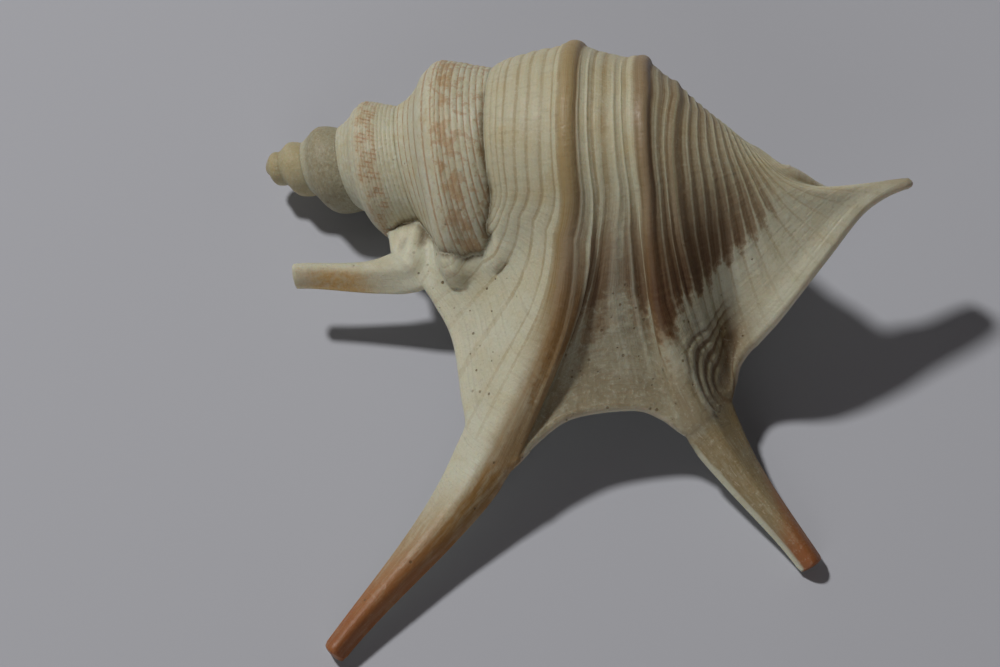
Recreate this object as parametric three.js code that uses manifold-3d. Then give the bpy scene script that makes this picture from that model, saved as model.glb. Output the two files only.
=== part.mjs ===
// Pelican foot shell, millimetres, +Z up, resting on its lip with the spire towards -X and the fingers towards -Y.
import * as THREE from "three";
import Module from "manifold-3d";

const wasm = await Module();
wasm.setup();

const degree = Math.PI / 180;

// Axis of the coil: it starts at the tip of the spire and rises towards the beak.
const axisPitch = 15 * degree;
const spireTip = new THREE.Vector3(0, -0.6, 2.3);

// Spire: each turn is larger than the one before by the same ratio.
const turnRatio = 1.6;
const coneOrigin = 1.83;
const firstSuture = 2.767;
const sutureAngle = 150;
const tipRounding = 1.3;
const whorlOutline = [
  [0.0, 0.345],
  [0.12, 0.358],
  [0.25, 0.393],
  [0.38, 0.455],
  [0.5, 0.472],
  [0.62, 0.447],
  [0.75, 0.412],
  [0.88, 0.375],
  [1.0, 0.345],
];

// Last whorl: how much slower it moves along the axis than the spire, and where the wall starts and leaves the coil.
const lastTurnAdvance = 1.3;
const lastTurnGrowth = 1.35;
const callusBulge = 0.6;
const callusAngle = 268;
const undersideFlat = 0.09;
const wallStart = 322;
const wallLeave = 42;

// The spiral lines of the last whorl, from the suture to the beak. at: place along the axis and radius on the coil.
// edge: where the line meets the lip. end: where it ends on a finger.
const lines = [
  { at: [15.9, 5.6], edge: [9.3, -6.6, 4.7] },
  { at: [16.5, 6.3], edge: [10.0, -7.8, 5.2], end: [3.6, -9.3, 4.6] },
  { at: [17.1, 6.65], edge: [11.2, -8.8, 5.5], end: [3.7, -9.9, 4.4] },
  { at: [17.9, 6.95], edge: [12.4, -9.9, 4.9], end: [3.9, -10.5, 3.9] },
  { at: [19.5, 7.3], edge: [14.9, -13.2, 4.7] },
  { at: [20.9, 7.45], edge: [16.7, -19.2, 4.1], end: [9.9, -34.7, 0.8] },
  { at: [21.8, 7.6], edge: [18.4, -21.0, 4.6], end: [10.5, -35.3, 1.2] },
  { at: [22.7, 7.4], edge: [19.9, -22.0, 3.9], end: [11.1, -35.4, 0.7] },
  { at: [23.3, 7.25], edge: [21.0, -20.3, 4.5] },
  { at: [23.9, 7.1], edge: [23.3, -18.2, 5.1] },
  { at: [24.7, 6.9], edge: [27.3, -16.9, 5.0] },
  { at: [25.3, 6.7], edge: [29.4, -17.0, 4.4] },
  { at: [25.8, 6.65], edge: [31.0, -17.8, 3.8], end: [39.4, -24.9, 0.6] },
  { at: [26.5, 6.55], edge: [32.2, -16.4, 4.3], end: [40.0, -24.6, 1.0] },
  { at: [27.5, 5.9], edge: [33.5, -14.6, 3.2], end: [40.5, -24.0, 0.7] },
  { at: [29.1, 4.6], edge: [33.6, -12.3, 4.4] },
  { at: [30.5, 3.3], edge: [36.1, -10.3, 7.2] },
  { at: [31.6, 2.3], edge: [38.8, -7.2, 9.2] },
  { at: [32.5, 1.5], edge: [41.0, -4.2, 9.9] },
  { at: [33.2, 1.0], edge: [43.1, -1.8, 10.1] },
  { at: [33.8, 0.7], edge: [42.6, -0.7, 10.5] },
];
const fingers = [
  { from: 1, to: 3, thick: 1.5 },
  { from: 5, to: 7, thick: 1.9 },
  { from: 12, to: 14, thick: 1.7 },
];

// Keels and the finer cords between them: line number, height, half width in lines.
const keels = [
  { line: 6, height: 0.55, width: 0.4 },
  { line: 13, height: 0.5, width: 0.4 },
  { line: 15, height: 0.2, width: 0.3 },
];

// Wall of the last whorl.
const wallThickness = 1.0;
const lipThickness = 0.7;
const coreInset = 0.45;
const wallSunk = 1.3;
const coilShare = 0.62;
const fingerTaper = 0.6;
const fingerCrown = 0.35;
const fingerTurn = 0.6;
const fingerNarrowing = 1.5;
const wingFlare = 0.35;

// The filling starts inside the mouth, behind the lip.
const coreStart = 100;
const coreEnd = 34.5;
const underLip = 16.4;
const hollowShare = 0.55;
const pillarRadius = 0.9;

// How finely each piece is divided.
const rowsOnCoil = 18;
const rowsOnWing = 10;
const rowsOnFinger = 9;
const columnsPerLine = 3;
const coreTurns = 44;
const coreLevels = 46;

function mix(a, b, t) {
  return a + (b - a) * t;
}

function smoothStep(a, b, x) {
  const t = Math.min(1, Math.max(0, (x - a) / (b - a)));
  return t * t * (3 - 2 * t);
}

function catmullRom(p0, p1, p2, p3, t) {
  const a = 2 * p1;
  const b = p2 - p0;
  const c = 2 * p0 - 5 * p1 + 4 * p2 - p3;
  const d = 3 * p1 - p0 - 3 * p2 + p3;
  return 0.5 * (a + b * t + c * t * t + d * t * t * t);
}

function interpolate(table, x) {
  let i = 0;
  while (i < table.length - 2 && x > table[i + 1][0]) {
    i += 1;
  }
  const [x0, y0] = table[i];
  const [x1, y1] = table[i + 1];
  return mix(y0, y1, Math.min(1, Math.max(0, (x - x0) / (x1 - x0))));
}

// A point given along the axis, and round it: 0 degrees faces the fingers, 90 degrees is up.
function aroundAxis(along, radius, angle) {
  const across = -radius * Math.cos(angle * degree);
  const above = radius * Math.sin(angle * degree);
  return new THREE.Vector3(
    spireTip.x + along * Math.cos(axisPitch) - above * Math.sin(axisPitch),
    spireTip.y + across,
    spireTip.z + along * Math.sin(axisPitch) + above * Math.cos(axisPitch),
  );
}

function growth(ratio, angle) {
  return Math.pow(ratio, (sutureAngle - angle) / 360);
}

function advance(angle) {
  return growth(angle > sutureAngle ? turnRatio : lastTurnAdvance, angle);
}

function spireRadius(along, angle) {
  const turns = Math.log((along + coneOrigin) / firstSuture) / Math.log(turnRatio);
  const place = turns - (sutureAngle - angle) / 360;
  const outline = interpolate(whorlOutline, place - Math.floor(place));
  const rounding = Math.max(0, 1 - along / tipRounding);
  const under = Math.max(0, -Math.sin(angle * degree));
  const flat = 1 - undersideFlat * under * under;
  return (along + coneOrigin) * outline * flat * Math.sqrt(1 - rounding * rounding);
}

// The last whorl is thickened below, where the shell rests on it.
function callus(along, angle) {
  const off = (angle - callusAngle) / 45;
  const side = (along - 23) / 4.5;
  return callusBulge * Math.exp(-off * off - side * side);
}

// A spiral line of the last whorl at a given angle, from its place on the coil.
function onCoil(line, angle) {
  const [along, radius] = line.at;
  return aroundAxis(
    (along + coneOrigin) * advance(angle) - coneOrigin,
    radius * growth(lastTurnGrowth, angle) + callus(along, angle),
    angle,
  );
}

// The direction a spiral line has where it meets the lip: outwards, and turned towards its finger.
function arrival(line, start, edge) {
  const outwards = edge.clone().sub(start).normalize();
  if (!line.end) {
    return outwards.setZ(outwards.z * wingFlare).normalize();
  }
  const alongFinger = new THREE.Vector3(...line.end).sub(edge).normalize();
  return outwards.addScaledVector(alongFinger, fingerTurn).normalize();
}

// A spiral line from the coil to the lip: stretch runs from 0 at the start of the wall to 1 at the lip.
function onLine(line, stretch) {
  if (stretch < coilShare) {
    return onCoil(line, mix(wallStart, wallLeave, stretch / coilShare));
  }
  const start = onCoil(line, wallLeave);
  const before = onCoil(line, wallLeave + 1);
  const edge = new THREE.Vector3(...line.edge);
  const reach = start.distanceTo(edge);
  const leaving = start.clone().sub(before).normalize();
  const arriving = arrival(line, start, edge);
  const curve = new THREE.CubicBezierCurve3(
    start,
    start.clone().addScaledVector(leaving, 0.33 * reach),
    edge.clone().addScaledVector(arriving, -0.33 * reach),
    edge,
  );
  return curve.getPoint((stretch - coilShare) / (1 - coilShare));
}

// The wall between the spiral lines. place counts the lines, and need not be whole.
function wallPoint(stretch, place) {
  const i = Math.min(lines.length - 2, Math.floor(place));
  const t = place - i;
  const near = [i - 1, i, i + 1, i + 2].map((n) =>
    onLine(lines[Math.min(lines.length - 1, Math.max(0, n))], stretch),
  );
  return new THREE.Vector3(
    catmullRom(near[0].x, near[1].x, near[2].x, near[3].x, t),
    catmullRom(near[0].y, near[1].y, near[2].y, near[3].y, t),
    catmullRom(near[0].z, near[1].z, near[2].z, near[3].z, t),
  );
}

function keelHeight(place) {
  return keels.reduce((sum, keel) => {
    const off = (place - keel.line) / keel.width;
    return sum + keel.height * Math.exp(-off * off);
  }, 0);
}

// The outer surface of the wall, with its keels, and the direction it faces there.
function wallSkin(stretch, place) {
  const step = 0.01;
  const here = wallPoint(stretch, place);
  const forward = wallPoint(Math.min(1, stretch + step), place).sub(
    wallPoint(Math.max(0, stretch - step), place),
  );
  const sideways = wallPoint(stretch, Math.min(lines.length - 1, place + step)).sub(
    wallPoint(stretch, Math.max(0, place - step)),
  );
  const facing = forward.cross(sideways).normalize();
  const sunk = wallSunk * (1 - smoothStep(0, 0.16, stretch));
  here.addScaledVector(facing, keelHeight(place) * smoothStep(0.1, 0.3, stretch) - sunk);
  const thick = mix(wallThickness, lipThickness, smoothStep(0.7, 1, stretch));
  return { outer: here, facing, thick };
}

// The middle line of a finger, as a curve from the lip to its end.
function fingerCurve(finger) {
  const line = lines[(finger.from + finger.to) / 2];
  const edge = new THREE.Vector3(...line.edge);
  const end = new THREE.Vector3(...line.end);
  const third = edge.distanceTo(end) / 3;
  const leaving = arrival(line, onCoil(line, wallLeave), edge);
  const straight = end.clone().sub(edge).normalize();
  return new THREE.CubicBezierCurve3(
    edge,
    edge.clone().addScaledVector(leaving, third),
    end.clone().addScaledVector(straight, -third),
    end,
  );
}

// The outer surface of a finger: stretch runs from 0 at the lip to 1 at its end.
function fingerSkin(finger, stretch, place) {
  const root = wallSkin(1, place);
  const middle = (finger.from + finger.to) / 2;
  const off = place - middle;
  const curve = fingerCurve(finger);
  const here = curve.getPoint(stretch);
  const along = curve.getTangent(stretch);
  const facing = new THREE.Vector3(0, 0, 1).addScaledVector(along, -along.z).normalize();
  const [a, b, c] = [finger.from, middle, finger.to].map(
    (n) => new THREE.Vector3(...lines[n].end),
  );
  const endOffset = c.clone().sub(a).multiplyScalar(off / 2);
  endOffset.addScaledVector(a.add(c).addScaledVector(b, -2), (off * off) / 2);
  const rootOffset = root.outer.clone().sub(new THREE.Vector3(...lines[middle].edge));
  const round = Math.sqrt(Math.max(0, 1 - off * off));
  const grown = smoothStep(0, 0.3, stretch);
  const width = 1 - Math.pow(1 - stretch, fingerNarrowing);
  const slender = mix(finger.thick, finger.thick * fingerTaper, stretch);
  return {
    outer: here
      .add(rootOffset.lerp(endOffset, width))
      .addScaledVector(facing, fingerCrown * round * grown),
    facing: root.facing.clone().lerp(facing, grown).normalize(),
    thick: mix(root.thick, lipThickness * 0.5 + slender * round, smoothStep(0, 0.35, stretch)),
  };
}

// A closed mesh of the wall, its wing and its fingers: an outer and an inner surface, joined along the lip.
function wallSolid() {
  const skins = [];
  const faces = [];
  const columns = (lines.length - 1) * columnsPerLine;
  const addRow = (from, to, skinAt) => {
    const row = [];
    for (let n = from; n <= to; n += 1) {
      row[n] = skins.push(skinAt(n / columnsPerLine)) - 1;
    }
    return row;
  };
  const joinRows = (before, after, from, to) => {
    for (let n = from; n < to; n += 1) {
      faces.push([before[n], after[n], after[n + 1]]);
      faces.push([before[n], after[n + 1], before[n + 1]]);
    }
  };
  const stretches = [];
  for (let n = 0; n <= rowsOnCoil; n += 1) {
    stretches.push((coilShare * n) / rowsOnCoil);
  }
  for (let n = 1; n <= rowsOnWing; n += 1) {
    stretches.push(mix(coilShare, 1, n / rowsOnWing));
  }
  const rows = stretches.map((stretch) =>
    addRow(0, columns, (place) => wallSkin(stretch, place)),
  );
  rows.slice(1).forEach((row, n) => joinRows(rows[n], row, 0, columns));
  fingers.forEach((finger) => {
    const from = finger.from * columnsPerLine;
    const to = finger.to * columnsPerLine;
    let before = rows[rows.length - 1];
    for (let n = 1; n <= rowsOnFinger; n += 1) {
      const row = addRow(from, to, (place) => fingerSkin(finger, n / rowsOnFinger, place));
      joinRows(before, row, from, to);
      before = row;
    }
  });

  const points = skins.map((skin) => skin.outer);
  const inner = points.length;
  skins.forEach((skin) => {
    points.push(skin.outer.clone().addScaledVector(skin.facing, -skin.thick));
  });
  const free = new Map();
  faces.forEach(([a, b, c]) => {
    [[a, b], [b, c], [c, a]].forEach(([from, to]) => {
      if (!free.delete(to + " " + from)) {
        free.set(from + " " + to, [from, to]);
      }
    });
  });
  const closed = [];
  faces.forEach(([a, b, c]) => {
    closed.push(a, b, c);
    closed.push(inner + c, inner + b, inner + a);
  });
  free.forEach(([from, to]) => {
    closed.push(to, from, inner + from);
    closed.push(to, inner + from, inner + to);
  });
  return solidFrom(points, closed);
}

// Radius of the spire and of the filling inside the last whorl.
function coreRadius(along, angle) {
  const onSpire = spireRadius(along, angle);
  const wound = Math.min(angle, wallStart);
  const suture = (lines[0].at[0] + coneOrigin) * advance(wound) - coneOrigin;
  const beneath = smoothStep(wallStart, 360, angle);
  const seam = mix(suture, underLip, beneath);
  const place = (along + coneOrigin) / advance(wound) - coneOrigin;
  const body = interpolate(lines.map((line) => line.at), place) * growth(lastTurnGrowth, wound) - coreInset;
  const hollow = mix(1, hollowShare, smoothStep(wallStart + 8, 410, angle));
  const inside = Math.max(pillarRadius, body * hollow);
  return mix(onSpire, inside, smoothStep(seam + 0.4, seam + 1.8 + 4 * beneath, along));
}

function coreSolid() {
  const points = [spireTip.clone()];
  const faces = [];
  for (let level = 1; level < coreLevels; level += 1) {
    const along = coreEnd * Math.pow(level / coreLevels, 1.15);
    for (let turn = 0; turn < coreTurns; turn += 1) {
      const angle = coreStart + (360 * turn) / coreTurns;
      const ending = Math.sqrt(Math.max(0, 1 - Math.pow(Math.max(0, along - 29) / (coreEnd - 29), 2)));
      points.push(aroundAxis(along, coreRadius(along, angle) * ending, angle));
    }
  }
  points.push(aroundAxis(coreEnd, 0, 0));
  const last = points.length - 1;
  const at = (level, turn) => 1 + (level - 1) * coreTurns + (turn % coreTurns);
  for (let turn = 0; turn < coreTurns; turn += 1) {
    faces.push(0, at(1, turn), at(1, turn + 1));
    faces.push(last, at(coreLevels - 1, turn + 1), at(coreLevels - 1, turn));
    for (let level = 1; level < coreLevels - 1; level += 1) {
      faces.push(at(level, turn), at(level + 1, turn), at(level + 1, turn + 1));
      faces.push(at(level, turn), at(level + 1, turn + 1), at(level, turn + 1));
    }
  }
  return solidFrom(points, faces);
}

function solidFrom(points, faces) {
  const vertProperties = new Float32Array(points.flatMap((point) => point.toArray()));
  return new wasm.Manifold(
    new wasm.Mesh({ numProp: 3, vertProperties, triVerts: new Uint32Array(faces) }),
  );
}

function meshFrom(solid, name) {
  const made = solid.getMesh();
  const geometry = new THREE.BufferGeometry();
  geometry.setAttribute("position", new THREE.BufferAttribute(made.vertProperties, 3));
  geometry.setIndex(new THREE.BufferAttribute(made.triVerts, 1));
  const mesh = new THREE.Mesh(geometry);
  mesh.name = name;
  return mesh;
}

// The filling leaves no sealed hollow behind the wall: only the outermost surface is kept.
const [shell] = coreSolid()
  .add(wallSolid())
  .decompose()
  .sort((a, b) => b.volume() - a.volume());
// The shell stands on the ground with the middle of its length and width over the origin.
const { min, max } = shell.boundingBox();
const placed = shell.translate(-(min[0] + max[0]) / 2, -(min[1] + max[1]) / 2, -min[2]);

const group = new THREE.Group();
group.add(meshFrom(placed, "shell"));

export default group;
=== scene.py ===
# Pelican foot shell: whorls, wing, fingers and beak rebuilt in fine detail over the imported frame
import math

import bmesh
import bpy
import numpy as np
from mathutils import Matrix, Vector
from mathutils.kdtree import KDTree


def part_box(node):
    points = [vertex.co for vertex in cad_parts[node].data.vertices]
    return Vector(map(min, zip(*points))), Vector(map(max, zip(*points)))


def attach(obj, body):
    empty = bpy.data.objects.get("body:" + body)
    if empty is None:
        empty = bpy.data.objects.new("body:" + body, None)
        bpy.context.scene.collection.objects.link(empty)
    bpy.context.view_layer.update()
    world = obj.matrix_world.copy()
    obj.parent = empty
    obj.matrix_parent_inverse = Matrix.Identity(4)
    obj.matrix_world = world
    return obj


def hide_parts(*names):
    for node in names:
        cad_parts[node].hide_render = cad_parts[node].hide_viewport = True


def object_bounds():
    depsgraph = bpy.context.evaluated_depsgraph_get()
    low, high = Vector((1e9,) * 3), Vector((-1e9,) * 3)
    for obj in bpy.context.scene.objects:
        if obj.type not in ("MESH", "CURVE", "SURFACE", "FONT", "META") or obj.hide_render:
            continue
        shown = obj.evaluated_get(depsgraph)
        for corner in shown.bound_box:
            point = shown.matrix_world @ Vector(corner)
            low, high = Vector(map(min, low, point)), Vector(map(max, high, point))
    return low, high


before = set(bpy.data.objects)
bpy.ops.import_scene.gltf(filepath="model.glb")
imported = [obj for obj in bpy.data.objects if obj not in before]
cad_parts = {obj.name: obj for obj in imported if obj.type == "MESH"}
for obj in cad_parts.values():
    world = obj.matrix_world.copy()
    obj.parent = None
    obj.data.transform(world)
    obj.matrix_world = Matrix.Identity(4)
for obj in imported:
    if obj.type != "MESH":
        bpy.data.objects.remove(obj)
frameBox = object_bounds()
print("frame loaded")

mm = 0.001
scene = bpy.context.scene

# The coil, in millimetres and degrees, as in the part's source
coil = dict(
    axisPitch=15.0,
    spireTip=(0.0, -0.6, 2.3),
    turnRatio=1.6,
    coneOrigin=1.83,
    firstSuture=2.767,
    sutureAngle=150.0,
    tipRounding=0.9,
    earlyRounding=0.6,  # how much rounder the first small whorls are
    lastTurnAdvance=1.3,
    lastTurnGrowth=1.35,
    undersideFlat=0.09,
    bulge=1.15,  # the last whorl of the spire stands fuller just above the callus
    bulgeAlong=13.9,
    bulgeLength=1.5,
    bulgeAngle=2.0,
    bulgeSpread=28.0,
)

# Outline of one whorl from suture to suture, as radius over distance from the cone's origin
whorlOutline = [
    (0.0, 0.345), (0.12, 0.358), (0.25, 0.393), (0.38, 0.455), (0.5, 0.472),
    (0.62, 0.447), (0.75, 0.412), (0.88, 0.375), (1.0, 0.345),
]

# The filling: spire, and the inside of the last whorl behind the mouth
core = dict(
    start=100.0,
    end=34.5,
    capFrom=29.0,
    underLip=16.4,
    hollowShare=0.55,
    pillarRadius=0.9,
    inset=0.45,
    levels=340,
    turns=180,
    shown=19.0,
    shownLevels=0.78,
)

# The wall of the last whorl, its wing, fingers and beak
wall = dict(
    start=322.0,  # angle where the wall begins, under the spire
    leave=42.0,  # angle where it leaves the coil and opens into the wing
    coilShare=0.62,
    thickness=1.0,
    lipThickness=0.7,
    sunk=1.3,
    callusBulge=0.6,
    callusAngle=268.0,
    callusSpread=45.0,
    callusAlong=23.0,
    callusLength=4.5,
    fingerTurn=0.6,
    fingerNarrowing=1.5,
    fingerTaper=0.6,
    fingerCrown=0.35,
    fingerEndRoundness=0.3,
    rimMiddle=0.42,
    rimSide=0.32,
    wingFlare=0.35,
    rowsOnCoil=110,
    rowsOnWing=95,
    rowsOnFinger=70,
    columnsPerLine=12,
)

# Spiral lines: place along the axis and radius on the coil, point on the lip, end of a finger
spiralLines = [
    ((15.9, 5.6), (9.3, -6.6, 4.7), None),
    ((16.5, 6.3), (10.0, -7.8, 5.2), (3.6, -9.3, 4.6)),
    ((17.1, 6.65), (11.2, -8.8, 5.5), (3.7, -9.9, 4.4)),
    ((17.9, 6.95), (12.4, -9.9, 4.9), (3.9, -10.5, 3.9)),
    ((19.5, 7.3), (14.9, -13.2, 4.7), None),
    ((20.9, 7.45), (16.7, -19.2, 4.1), (9.9, -34.7, 0.8)),
    ((21.8, 7.6), (18.4, -21.0, 4.6), (10.5, -35.3, 1.2)),
    ((22.7, 7.4), (19.9, -22.0, 3.9), (11.1, -35.4, 0.7)),
    ((23.3, 7.25), (21.0, -20.3, 4.5), None),
    ((23.9, 7.1), (23.3, -18.2, 5.1), None),
    ((24.7, 6.9), (27.3, -16.9, 5.0), None),
    ((25.3, 6.7), (29.4, -17.0, 4.4), None),
    ((25.8, 6.65), (31.0, -17.8, 3.8), (39.4, -24.9, 0.6)),
    ((26.5, 6.55), (32.2, -16.4, 4.3), (40.0, -24.6, 1.0)),
    ((27.5, 5.9), (33.5, -14.6, 3.2), (40.5, -24.0, 0.7)),
    ((29.1, 4.6), (33.6, -12.3, 4.4), None),
    ((30.5, 3.3), (35.8, -10.1, 7.2), None),
    ((31.6, 2.3), (38.2, -6.7, 9.2), None),
    ((32.5, 1.5), (40.3, -3.5, 9.9), None),
    ((33.2, 1.0), (43.1, -0.8, 10.8), None),
    ((33.8, 0.7), (42.6, -0.2, 10.6), None),
]
fingers = [(1, 3, 1.5), (5, 7, 1.9), (12, 14, 1.7)]  # first line, last line, thickness
lastLine = len(spiralLines) - 1

# How far each keel strays from its line, in lines, at places along its reach
keelDrift = [
    (6, [
        (0.43, 0.42), (0.51, 0.55), (0.57, 0.3), (0.62, 0.05), (0.69, -0.5),
        (0.76, -0.12), (0.81, 0.05), (1.0, 0.1), (2.0, 0.0),
    ]),
    (13, [
        (0.45, 0.33), (0.5, 0.45), (0.56, 0.2), (0.62, -0.15), (0.7, -0.85), (0.75, -1.05),
        (0.8, -1.12), (0.85, -0.9), (0.91, -0.55), (1.0, -0.2), (1.3, 0.0),
    ]),
    (15, [(0.48, -0.17), (0.57, -0.6), (0.65, -0.9), (0.72, -1.08), (0.8, -1.15), (1.0, -1.0)]),
]

# The callus beside the spire: the whorls show above its edge, given as angles at places along the axis
callus = dict(
    edge=[
        (9.0, 1.0), (10.5, 0.5), (11.8, 0.5), (12.6, 1.0), (13.4, 5.0), (14.2, 10.0),
        (15.1, 12.0), (15.9, 8.5), (17.0, 7.6), (17.8, 14.4), (18.2, 20.8),
    ],
    # height over the whorl where it is pressed down, by degrees past the edge
    seat=[(-12.0, 1.6), (-5.0, 0.9), (-2.0, 0.45), (0.0, 0.06), (2.5, -0.4), (40.0, -0.6)],
    # least height over the whorl all around it
    least=[
        (-40.0, 0.6), (-25.0, 1.2), (-12.0, 1.3), (-5.0, 0.85), (-2.0, 0.42),
        (0.0, 0.06), (2.5, -0.4), (40.0, -0.6),
    ],
    reach=(0.75, 0.8),
    places=(3.4, 4.0),
    leastPlaces=(4.0, 4.8),
    fadeIn=(-9, -2),
    leastFadeIn=(-40, -30),
    # line, reach, widths, depth
    holes=[
        (1.25, 0.986, 0.25, 0.007, 0.22),
        (2.1, 0.975, 0.3, 0.008, 0.45),
        (2.5, 0.955, 0.25, 0.006, 0.22),
    ],
)

# The beak: how its far margin draws in, falls away and leaves a ridge, in millimetres
beak = dict(
    waist=1.1,
    waistFrom=0.4,
    waistLines=(16.5, 20),
    fall=1.5,
    fallStretch=(0.57, 0.79),
    fallLines=(17.9, 20),
    fallAside=0.3,
    crown=0.85,
    crownStretch=(0.64, 0.9),
    crownLine=18.35,
    crownWidth=0.85,
)

pitch = math.radians(coil["axisPitch"])
axisAlong = np.array([math.cos(pitch), 0.0, math.sin(pitch)])
axisAbove = np.array([-math.sin(pitch), 0.0, math.cos(pitch)])
tipPoint = np.array(coil["spireTip"])


def smoothStep(a, b, x):
    t = np.clip((x - a) / (b - a), 0.0, 1.0)
    return t * t * (3 - 2 * t)


def unit(v):
    return v / np.maximum(np.linalg.norm(v, axis=-1, keepdims=True), 1e-9)


def aroundAxis(along, radius, angle):
    # 0 degrees faces the fingers and 90 degrees is up
    a = np.radians(angle)
    across = np.stack([0 * along, -radius * np.cos(a), 0 * along], -1)
    return tipPoint + along[..., None] * axisAlong + (radius * np.sin(a))[..., None] * axisAbove + across


def drawn(values, points):
    return np.interp(values, *zip(*points))


def whorlRadius(along, angle):
    # how far the whorls of the spire stand from the axis
    wound = (angle - core["start"]) % 360 + core["start"]
    fromOrigin = np.maximum(along + coil["coneOrigin"], 0.1)
    turned = (wound - coil["sutureAngle"]) / 360
    whorl = np.log(fromOrigin / coil["firstSuture"]) / math.log(coil["turnRatio"]) + turned
    under = np.maximum(-np.sin(np.radians(wound)), 0)
    radius = fromOrigin * drawn(whorl % 1, whorlOutline) * (1 - coil["undersideFlat"] * under ** 2)
    off = (along - coil["bulgeAlong"]) / coil["bulgeLength"]
    side = (wound - 360 - coil["bulgeAngle"]) / coil["bulgeSpread"]
    return radius + coil["bulge"] * np.exp(-off ** 2 - side ** 2)


def growth(ratio, angle):
    return ratio ** ((coil["sutureAngle"] - angle) / 360)


def onCoil(at, angle):
    ratio = np.where(angle > coil["sutureAngle"], coil["turnRatio"], coil["lastTurnAdvance"])
    along = (at[0] + coil["coneOrigin"]) * growth(ratio, angle) - coil["coneOrigin"]
    off = (angle - wall["callusAngle"]) / wall["callusSpread"]
    side = (along - wall["callusAlong"]) / wall["callusLength"]
    bulging = wall["callusBulge"] * np.exp(-off * off - side * side)
    return aroundAxis(along, at[1] * growth(coil["lastTurnGrowth"], angle) + bulging, angle)


def arrival(start, edge, end):
    # direction of a spiral line where it meets the lip
    outwards = unit(edge - start)
    if end is None:
        return unit(outwards * np.array([1, 1, wall["wingFlare"]]))
    return unit(outwards + wall["fingerTurn"] * unit(np.array(end) - edge))


def bezier(p0, p1, p2, p3, t):
    t = t[:, None]
    return (1 - t) ** 3 * p0 + 3 * (1 - t) ** 2 * t * p1 + 3 * (1 - t) * t ** 2 * p2 + t ** 3 * p3


def linePoints(line, stretch):
    at, edge, end = line
    share = wall["coilShare"]
    angles = wall["start"] + (wall["leave"] - wall["start"]) * np.minimum(stretch, share) / share
    points = onCoil(at, angles)
    leave = wall["leave"]
    start, before = onCoil(at, np.array([leave, leave + 1.0]))
    edge = np.array(edge)
    reach = np.linalg.norm(edge - start)
    out = stretch > share
    points[out] = bezier(
        start,
        start + 0.33 * reach * unit(start - before),
        edge - 0.33 * reach * arrival(start, edge, end),
        edge,
        (stretch[out] - share) / (1 - share),
    )
    return points


def acrossLines(rows, places):
    # Catmull-Rom between neighbouring lines; rows is (rows, lines, 3)
    i = np.clip(np.floor(places).astype(int), 0, lastLine - 1)
    t = (places - i)[None, :, None]
    p0, p1, p2, p3 = (rows[:, np.clip(i + k, 0, lastLine)] for k in (-1, 0, 1, 2))
    squared = (2 * p0 - 5 * p1 + 4 * p2 - p3) * t ** 2
    cubed = (3 * p1 - p0 - 3 * p2 + p3) * t ** 3
    return 0.5 * (2 * p1 + (p2 - p0) * t + squared + cubed)


def wallSkin(stretch, places):
    rows = np.stack([linePoints(line, stretch) for line in spiralLines], 1)
    points = acrossLines(rows, places)
    out = np.clip((stretch - beak["waistFrom"]) / (1 - beak["waistFrom"]), 0, 1)
    waist = np.outer(np.sin(math.pi * out) ** 1.3, smoothStep(*beak["waistLines"], places))
    points[..., 1] -= beak["waist"] * waist
    falling = np.outer(smoothStep(*beak["fallStretch"], stretch), smoothStep(*beak["fallLines"], places))
    fall = beak["fall"] * falling
    onRidge = np.exp(-((places - beak["crownLine"]) / beak["crownWidth"]) ** 2)
    points[..., 1] += beak["fallAside"] * fall
    points[..., 2] += beak["crown"] * np.outer(smoothStep(*beak["crownStretch"], stretch), onRidge) - fall
    facing = unit(np.cross(np.gradient(points, stretch, axis=0), np.gradient(points, places, axis=1)))
    points = points - facing * (wall["sunk"] * (1 - smoothStep(0, 0.16, stretch)))[:, None, None]
    thick = wall["thickness"] + (wall["lipThickness"] - wall["thickness"]) * smoothStep(0.7, 1, stretch)
    return points, facing, np.repeat(thick[:, None], len(places), 1)


def fingerSkin(finger, root, rootFacing, rootThick, places, stretch):
    first, last, thickness = finger
    middle = (first + last) // 2
    off = places - middle
    at, edge, end = spiralLines[middle]
    edge, end = np.array(edge), np.array(end)
    third = np.linalg.norm(end - edge) / 3
    leaving = arrival(onCoil(at, np.array([wall["leave"]]))[0], edge, end)
    centre = bezier(edge, edge + leaving * third, end - unit(end - edge) * third, end, stretch)
    along = unit(np.gradient(centre, stretch, axis=0))
    facing = unit(np.array([0, 0, 1.0]) - along * along[:, 2:])
    a, b, c = (np.array(spiralLines[n][2]) for n in (first, middle, last))
    endOffset = np.outer(off / 2, c - a) + np.outer(off ** 2 / 2, a + c - 2 * b)
    width = (1 - (1 - stretch) ** wall["fingerNarrowing"])[:, None, None]
    rounding = np.sqrt(np.maximum(0, 1 - off ** 2))
    grown = smoothStep(0, 0.3, stretch)[:, None]
    points = centre[:, None] + (root - edge)[None] * (1 - width) + endOffset[None] * width
    points = points + facing[:, None] * (wall["fingerCrown"] * rounding[None] * grown)[..., None]
    turned = unit(rootFacing[None] * (1 - grown[..., None]) + facing[:, None] * grown[..., None])
    slender = thickness * (1 + (wall["fingerTaper"] - 1) * stretch)[:, None] * rounding[None]
    blend = smoothStep(0, 0.35, stretch)[:, None]
    thick = rootThick[None] * (1 - blend) + (wall["lipThickness"] * 0.5 + slender) * blend
    return points, turned, thick


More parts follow.
